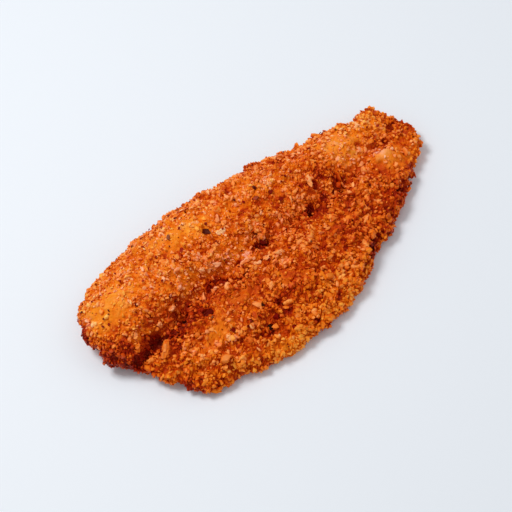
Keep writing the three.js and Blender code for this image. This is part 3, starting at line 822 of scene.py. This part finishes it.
# %% The kinds of crumb
KIND_VALUES = (
    "seed", "tried", "radius", "radius_spread", "shape", "sink", "tilt",
    "tone", "brown_spread", "on_smooth", "clumping",
)
KINDS = {  # tried is how many places are drawn before some are dropped; sizes in mm
    "golden_crumbs": (11, 6000, 0.92, 0.22, (1.2, 0.9, 0.85), 0.5, 0.5, -0.05, 0.04, 0.05, 0.9),
    "russet_crumbs": (12, 3400, 0.86, 0.22, (1.2, 0.9, 0.8), 0.6, 0.5, 0.03, 0.05, 0.05, 0.7),
    "fine_crumbs": (13, 8000, 0.46, 0.25, (1.3, 0.95, 0.75), 0.4, 0.5, -0.02, 0.05, 0.25, 0.6),
    "blond_crumbs": (14, 900, 0.8, 0.2, (1.2, 0.9, 0.8), 0.3, 0.5, -0.12, 0.05, 0.08, 0.85),
    "toasted_crumbs": (15, 500, 0.6, 0.2, (1.2, 0.95, 0.7), 0.4, 0.4, 0.2, 0.06, 0.1, 0.3),
    "crust_shards": (16, 3000, 1.05, 0.22, (1.2, 0.9, 0.4), -0.1, 0.7, -0.07, 0.05, 0.03, 0.85),
}
crumbs = [crumb_piece(name, dict(zip(KIND_VALUES, values))) for name, values in KINDS.items()]

# %% [markdown]
# ## Lumps of crust
# Batter runs together with crumbs into lumps and tongues of a few millimetres: at the mouth of the
# cleft, on the lips beside the seam and along the edge. Metaballs could melt them together, but
# they hide how many faces they make. Here each is an icosahedron with every face cut into four,
# once or twice, stretched and swollen in and out by sunk crumbs like those of the sheet.


# %% A finer ball
def halved(points, faces):
    """Each triangle cut into four and its new points pushed out to the ball. The middle of a side is
    made once and shared by both neighbours."""
    sides = np.sort(faces[:, [0, 1, 1, 2, 2, 0]].reshape(-1, 2), axis=1)
    pairs, number = np.unique(sides, axis=0, return_inverse=True)
    middle = number.reshape(-1, 3) + len(points)
    a, b, c = faces.T
    ab, bc, ca = middle.T
    cut = [(a, ab, ca), (b, bc, ab), (c, ca, bc), (ab, bc, ca)]
    finer = np.concatenate([np.stack(face, axis=1) for face in cut])
    return unit(np.concatenate([points, points[pairs].mean(1)])), finer


# %% Laying things on the sheet
def on_sheet(x, y):
    """For each place in plan: the number of the nearest point on the top of the sheet."""
    top = body[on_top, :2] + BOX_MIDDLE[:2]
    return np.array([((top - spot) ** 2).sum(1).argmin() for spot in np.stack([x, y], axis=1)])


def lying(numbers, turned, random, lean):
    """Three directions for each place: along the piece, across it and away from the sheet. Turned is
    the angle in plan, lean a random share by which it is not flat."""
    away = unit(body_normals[numbers] + lean * random.normal(size=(len(numbers), 3)))
    flat = np.stack([np.cos(turned), np.sin(turned), np.zeros(len(turned))], axis=1)
    across = unit(np.cross(away, flat))
    return np.stack([np.cross(across, away), across, away], axis=1)


# %% Lumps
LUMP_LEAN, LUMP_LIFT, LUMP_GRAIN = 0.15, 0.15, 1.5
# A lump is paler where it swells and darker in the hollows between swellings: painted light and painted
# shade.
LEAST_SWELL, SWELL, SWELL_SHADING = 0.6, 0.6, 0.12  # a lump is paler where it swells


def lump_piece(name, seed, table, ball, ball_faces):
    """One lump for each row of the table: the ball stretched to its length, width and height, with its
    middle just above the sheet, and swollen between 0.6 and 1.2 by sunk crumbs at each of its points."""
    random = np.random.default_rng(seed)
    numbers = on_sheet(table[:, 0], table[:, 1])
    axes = lying(numbers, np.radians(table[:, 5]), random, LUMP_LEAN)
    local = ball * table[:, None, 2:5] / 2
    middle = sheet[numbers] + body_normals[numbers] * table[:, 4:5] * LUMP_LIFT
    swell = sunk_crumbs((middle[:, None, :] + local @ axes).reshape(-1, 3), LUMP_GRAIN, seed)[0]
    swell = np.clip(swell, 0, 1).reshape(len(table), -1, 1)
    piece = joined(name, middle[:, None, :] + (local * (LEAST_SWELL + SWELL * swell)) @ axes, ball_faces)
    own = browning_and_painted_light[numbers] + table[:, 6]
    # Paler on the swellings and darker in the hollows, as painted light and shade.
    give(piece, "tone", (own[:, None] - SWELL_SHADING * (swell[..., 0] - 0.5)).ravel())
    # Each corner's height, which the finish turns into painted shade at the foot and painted light at the
    # top.
    give(piece, "height", np.tile((ball[:, 2] + 1) / 2, len(table)))
    give(piece, "tint", np.repeat(np.clip(warmth_and_sheen[numbers], 0, 1), len(ball)))
    return piece


# %% Tongues beside the seam and on the flap
TONGUES = np.array([  # x, y, length, width, height, turn, brown shift; the last is the pale chip
    (-72.5, -17, 9, 4.2, 4, 44, -0.11), (-82, -13.5, 6, 3, 3, -14, -0.09),
    (-84.5, -8, 4, 3.4, 3, 34, -0.09), (-59, -1.6, 4, 2.6, 2.6, 22, -0.15),
    (-68.5, -4, 3.4, 2.6, 2.4, -20, -0.22), (-61, -5.7, 3.4, 2, 2.2, 68, -0.22),
    (-42.5, -3.6, 6, 2.2, 2.4, 60, -0.12), (-35.5, -2.8, 3.2, 2.4, 2.2, 0, -0.2),
    (-30.5, -8.5, 5, 2.8, 2.6, 60, -0.15), (-20.5, -0.5, 5, 2.8, 2.6, -35, -0.1),
    (-15, -1.8, 6, 3, 2.6, -20, -0.12), (-5.5, -6, 5, 3, 2.6, -10, -0.12),
    (0.5, -8.5, 5, 2.6, 2.4, -20, -0.1), (-29.5, 4.3, 7, 3, 2.4, -12, -0.11),
    (-36.5, 6.2, 3.8, 2.6, 2, -25, -0.09), (-12.8, 2.3, 5, 3.2, 2.6, 17, -0.15),
    (-11, -5.7, 5, 2.2, 2.2, -23, -0.15), (-12.5, -20.5, 5, 2.4, 2.4, 65, -0.12),
    (-10.5, -30.8, 5, 2.8, 2.4, -14, -0.2), (-31.5, -32.3, 3, 3, 2.2, 0, -0.2),
    (-44.3, -30.5, 3.4, 3.4, 2.2, 0, -0.15), (-45.5, -42, 5, 2.6, 2.2, 0, -0.12),
    (6, -35, 4.6, 2.2, 2.2, -22, -0.12), (14, -25.6, 4.4, 2.2, 2, 0, -0.12),
    (19.6, -33.7, 5.4, 3.6, 2.4, 40, -0.12), (40.5, -25, 8, 3.2, 2.6, 55, -0.15),
    (50, -26.4, 5.4, 2.2, 2.2, 10, -0.15), (48, -14, 6, 2.2, 2.2, 28, -0.15),
    (35.5, 16.8, 6.5, 2.6, 2.4, 75, -0.17), (-16.5, 17, 5.4, 3.4, 2.8, -7, -0.6),
])
ball, ball_faces = halved(CORNERS, SIDES)
crust_tongues = lump_piece("crust_tongues", 4, TONGUES, *halved(ball, ball_faces))

# %% Lumps along the edge
EDGE_LUMPS, EDGE_OUT, EDGE_LENGTHS = 70, (0.8, 0.97), (2, 3.6)
EDGE_SHAPE, EDGE_BROWN = (1, 0.7, 0.7), (-0.1, 0.05)  # brown: its middle and its spread
random = np.random.default_rng(21)
angle = random.uniform(-np.pi, np.pi, EDGE_LUMPS)
place = outline_at(angle) * random.uniform(*EDGE_OUT, (EDGE_LUMPS, 1))
size = random.uniform(*EDGE_LENGTHS, (EDGE_LUMPS, 1)) * EDGE_SHAPE
turned, shift = random.uniform(0, 180, (EDGE_LUMPS, 1)), random.normal(*EDGE_BROWN, (EDGE_LUMPS, 1))
edge_table = np.concatenate([place, size, turned, shift], axis=1)
edge_lumps = lump_piece("edge_lumps", 5, edge_table, ball, ball_faces)

# %% [markdown]
# ## Spice
# Dried chilli is crushed with its skin and seeds: thin angular flakes, maroon where the light comes
# through and almost black where they charred. A painted spot would do from far off, but flakes
# stand up and throw shadows. Each is a little plate: an uneven ring of seven corners, curled along
# its length, with the same ring below it. Pepper and finer chilli are specks, made as crumbs are.

# %% Where the flakes lie: the larger ones at their places, small ones scattered over the top
SMALL_FLAKES, TOP_ABOVE = 130, 12
SMALL_LENGTHS, SMALL_WIDTHS, SMALL_REDNESS = (0.5, 1.15), (0.5, 0.8), (0.3, 0.85)  # widths: shares of length
random = np.random.default_rng(31)
place, _, _ = spread(random, 3 * SMALL_FLAKES, 1.0, 0.0)
place = (place + BOX_MIDDLE)[place[:, 2] > TOP_ABOVE][:SMALL_FLAKES, :2]
count = len(place)
half_length = random.uniform(*SMALL_LENGTHS, (count, 1))
small = np.concatenate([
    place, half_length, half_length * random.uniform(*SMALL_WIDTHS, (count, 1)),
    random.uniform(0, 180, (count, 1)), random.uniform(*SMALL_REDNESS, (count, 1)),
], axis=1)
flakes = np.concatenate([FLAKES, small])
print(len(FLAKES), "larger flakes and", len(small), "small ones")

# %% Their plates
RING, FLAKE_LEAN, CURL, FLAKE_THICKNESS, FLAKE_LIFT = 7, 0.25, 0.35, 0.35, 1.0
numbers = on_sheet(flakes[:, 0], flakes[:, 1])
axes = lying(numbers, np.radians(flakes[:, 4]), random, FLAKE_LEAN)
angle = 2 * np.pi * (np.arange(RING) + random.uniform(-0.3, 0.3, (len(flakes), RING))) / RING
reach = random.uniform(0.7, 1.1, (len(flakes), RING))
ring = np.stack([
    reach * np.cos(angle) * flakes[:, 2:3], reach * np.sin(angle) * flakes[:, 3:4], np.zeros(angle.shape),
], axis=-1)
ring[..., 2] = -CURL * ring[..., 0] ** 2 / flakes[:, 2:3]
hub = np.zeros((len(flakes), 1, 3))
plate = np.concatenate([ring, hub, ring - (0, 0, FLAKE_THICKNESS), hub - (0, 0, FLAKE_THICKNESS)], axis=1)
middle = np.maximum(sheet, body - 0.5 * body_normals)[numbers] + body_normals[numbers] * FLAKE_LIFT
here, after = np.arange(RING), (np.arange(RING) + 1) % RING
below = RING + 1
plate_faces = np.concatenate([
    np.stack([here, after, np.full(RING, RING)], axis=1),
    np.stack([after + below, here + below, np.full(RING, RING + below)], axis=1),
    np.stack([here, here + below, after + below], axis=1),
    np.stack([here, after + below, after], axis=1),
])
chilli_flakes = joined("chilli_flakes", middle[:, None, :] + plate @ axes, plate_faces)
give(chilli_flakes, "tone", np.repeat(flakes[:, 5], plate.shape[1]))

# %% Specks
PEPPER = (32, 420, 0.36, 0.25, (1.2, 0.9, 0.7), 0.2, 0.4, 0.2, 0.2, 1.0, 0.0)
pepper_specks = crumb_piece("pepper_specks", dict(zip(KIND_VALUES, PEPPER)))

# %% [markdown]
# ## Finishes
# Fried crumbs glow orange: their colour is a scale of browning, from blond through golden orange
# and russet to nearly black, read at each crumb's own brown, which also carries painted shade and
# sheen from the crust below. Light that travels inside the crumbs could make that glow, but strong
# colours in the scale give it more surely and keep the shade warm. Each crumb is darker at its foot,
# painted shade where the next one shades it, and paler at its tip, painted light, and has a tint of
# its own, so that one is more golden and the next more pink. The oil shows as a warm, soft gloss.
# Finer mottling and the pores come from noise on the piece itself.

# %% Scales of browning
SHEET_SCALE = (
    (0.0, linear(254, 187, 126)),
    (0.22, linear(251, 158, 58)),
    (0.42, linear(240, 124, 12)),
    (0.6, linear(204, 68, 0)),
    (0.78, linear(157, 20, 0)),
    (1.0, linear(98, 2, 0)),
)
CRUMB_SCALE = (
    (0.0, linear(255, 200, 148)),
    (0.22, linear(254, 163, 94)),
    (0.42, linear(244, 127, 34)),
    (0.6, linear(206, 69, 1)),
    (0.78, linear(157, 20, 0)),
    (1.0, linear(98, 2, 0)),
)
GOLDEN_TINT, PINK_TINT = (1.0, 1.0, 0.35, 1.0), (1.0, 0.96, 1.5, 1.0)
MOTTLE_SIZE, SHINE_SIZE, PORE_SIZE = 1.6, 0.9, 0.45
PORE_STRENGTH, ROUGHNESS_SPREAD = 0.6, 0.12
OIL_GLOSS, OIL_TINT = 0.38, (1.0, 0.5, 0.22, 1.0)
print("browning scales have", len(SHEET_SCALE), "and", len(CRUMB_SCALE), "marks")


# %% Helpers for finishes
def blended(tree, way, share, a, b):
    """Two colours put together: way is how, share is how much of the second."""
    inputs = {0: share, 6: a, 7: b}
    return add_node(tree, "ShaderNodeMix", inputs, data_type="RGBA", blend_type=way).outputs[2]


def scaled(tree, value, low, high):
    """A value from 0 to 1 carried over to another range, held at its ends."""
    inputs = {"Value": value, "To Min": low, "To Max": high}
    return add_node(tree, "ShaderNodeMapRange", inputs).outputs["Result"]


def attribute(tree, name):
    """The number that a piece holds for each of its points."""
    return add_node(tree, "ShaderNodeAttribute", attribute_name=name).outputs["Fac"]


def noise(tree, place, size, detail=2.0):
    """Soft random patches of about that size in mm."""
    inputs = {"Vector": place, "Scale": 1 / (size * MM), "Detail": detail}
    return add_node(tree, "ShaderNodeTexNoise", inputs).outputs["Fac"]


def summed(tree, a, b):
    """Two values added."""
    return add_node(tree, "ShaderNodeMath", {0: a, 1: b}, operation="ADD").outputs[0]


def started(name):
    """A new material: its node tree, its surface, and the place on the piece that patterns read."""
    material = bpy.data.materials.new(name)
    material.use_nodes = True
    tree = material.node_tree
    place = add_node(tree, "ShaderNodeTexCoord").outputs["Object"]
    return material, tree, tree.nodes["Principled BSDF"], place


def read_from(tree, value, scale):
    """The colour of a scale at a value; a scale is a row of marks, each a position and a colour."""
    ramp = add_node(tree, "ShaderNodeValToRGB", {"Fac": value})
    marks = ramp.color_ramp.elements
    while len(marks) < len(scale):
        marks.new(0.5)
    for mark, (position, colour) in zip(marks, scale):
        mark.position, mark.color = position, colour
    return ramp.outputs["Color"]


# %% The crust's two finishes
def crust_finish(name, scale, foot_shade, tip_light, mottle, rough, relief):
    """The scale read at the piece's own brown, stirred by noise, darker at the foot as painted shade and
    paler at the tip as painted light; the foot and tip values and mottle are added brown, rough is the
    middle roughness and relief the pores' depth in mm."""
    material, tree, surface, place = started(name)
    stir = scaled(tree, noise(tree, place, MOTTLE_SIZE, 3.0), -mottle, mottle)
    stir = summed(tree, scaled(tree, attribute(tree, "height"), foot_shade, tip_light), stir)
    tone = read_from(tree, summed(tree, attribute(tree, "tone"), stir), scale)
    tint = blended(tree, "MIX", attribute(tree, "tint"), PINK_TINT, GOLDEN_TINT)
    tree.links.new(blended(tree, "MULTIPLY", 1.0, tone, tint), surface.inputs["Base Color"])
    least, most = rough - ROUGHNESS_SPREAD, rough + ROUGHNESS_SPREAD
    tree.links.new(scaled(tree, noise(tree, place, SHINE_SIZE), least, most), surface.inputs["Roughness"])
    pores = {"Strength": PORE_STRENGTH, "Distance": relief * MM, "Height": noise(tree, place, PORE_SIZE, 3.0)}
    tree.links.new(add_node(tree, "ShaderNodeBump", pores).outputs["Normal"], surface.inputs["Normal"])
    surface.inputs["Specular IOR Level"].default_value = OIL_GLOSS
    surface.inputs["Specular Tint"].default_value = OIL_TINT
    return material


crust_sheet = crust_finish(
    "crust_sheet", SHEET_SCALE, foot_shade=0.22, tip_light=-0.14, mottle=0.08, rough=0.5, relief=0.4
)
crust.data.materials.append(crust_sheet)
crumb_crust = crust_finish(
    "crumb_crust", CRUMB_SCALE, foot_shade=0.28, tip_light=-0.12, mottle=0.06, rough=0.42, relief=0.12
)
for piece in [*crumbs, crust_tongues, edge_lumps]:
    piece.data.materials.append(crumb_crust)
print("crust finishes:", crust_sheet.name, "and", crumb_crust.name)

# %% The spice's finish
SPICE_SCALE = (
    (0.0, linear(34, 6, 2)),
    (0.3, linear(88, 8, 3)),
    (0.6, linear(138, 12, 5)),
    (0.85, linear(170, 40, 10)),
    (1.0, linear(128, 84, 56)),
)
SPICE_MOTTLE, SPICE_MOTTLE_SIZE = 0.15, 0.8
SPICE_ROUGHNESS, SPICE_GLOSS, SPICE_TINT = 0.4, 0.2, (1.0, 0.4, 0.25, 1.0)

# dark and a little shiny: the scale is read at the flake's own redness, stirred by noise
spice, tree, surface, place = started("chilli_and_pepper")
stir = scaled(tree, noise(tree, place, SPICE_MOTTLE_SIZE, 2.0), -SPICE_MOTTLE, SPICE_MOTTLE)
redness = summed(tree, attribute(tree, "tone"), stir)
tree.links.new(read_from(tree, redness, SPICE_SCALE), surface.inputs["Base Color"])
surface.inputs["Roughness"].default_value = SPICE_ROUGHNESS
surface.inputs["Specular IOR Level"].default_value = SPICE_GLOSS
surface.inputs["Specular Tint"].default_value = SPICE_TINT
for piece in (chilli_flakes, pepper_specks):
    piece.data.materials.append(spice)
print("spice scale has", len(SPICE_SCALE), "marks")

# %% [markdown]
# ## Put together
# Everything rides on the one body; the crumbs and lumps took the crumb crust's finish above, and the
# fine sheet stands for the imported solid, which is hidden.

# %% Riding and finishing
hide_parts("fillet")
for piece in [crust, *crumbs, crust_tongues, edge_lumps, chilli_flakes, pepper_specks]:
    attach(piece, "root")
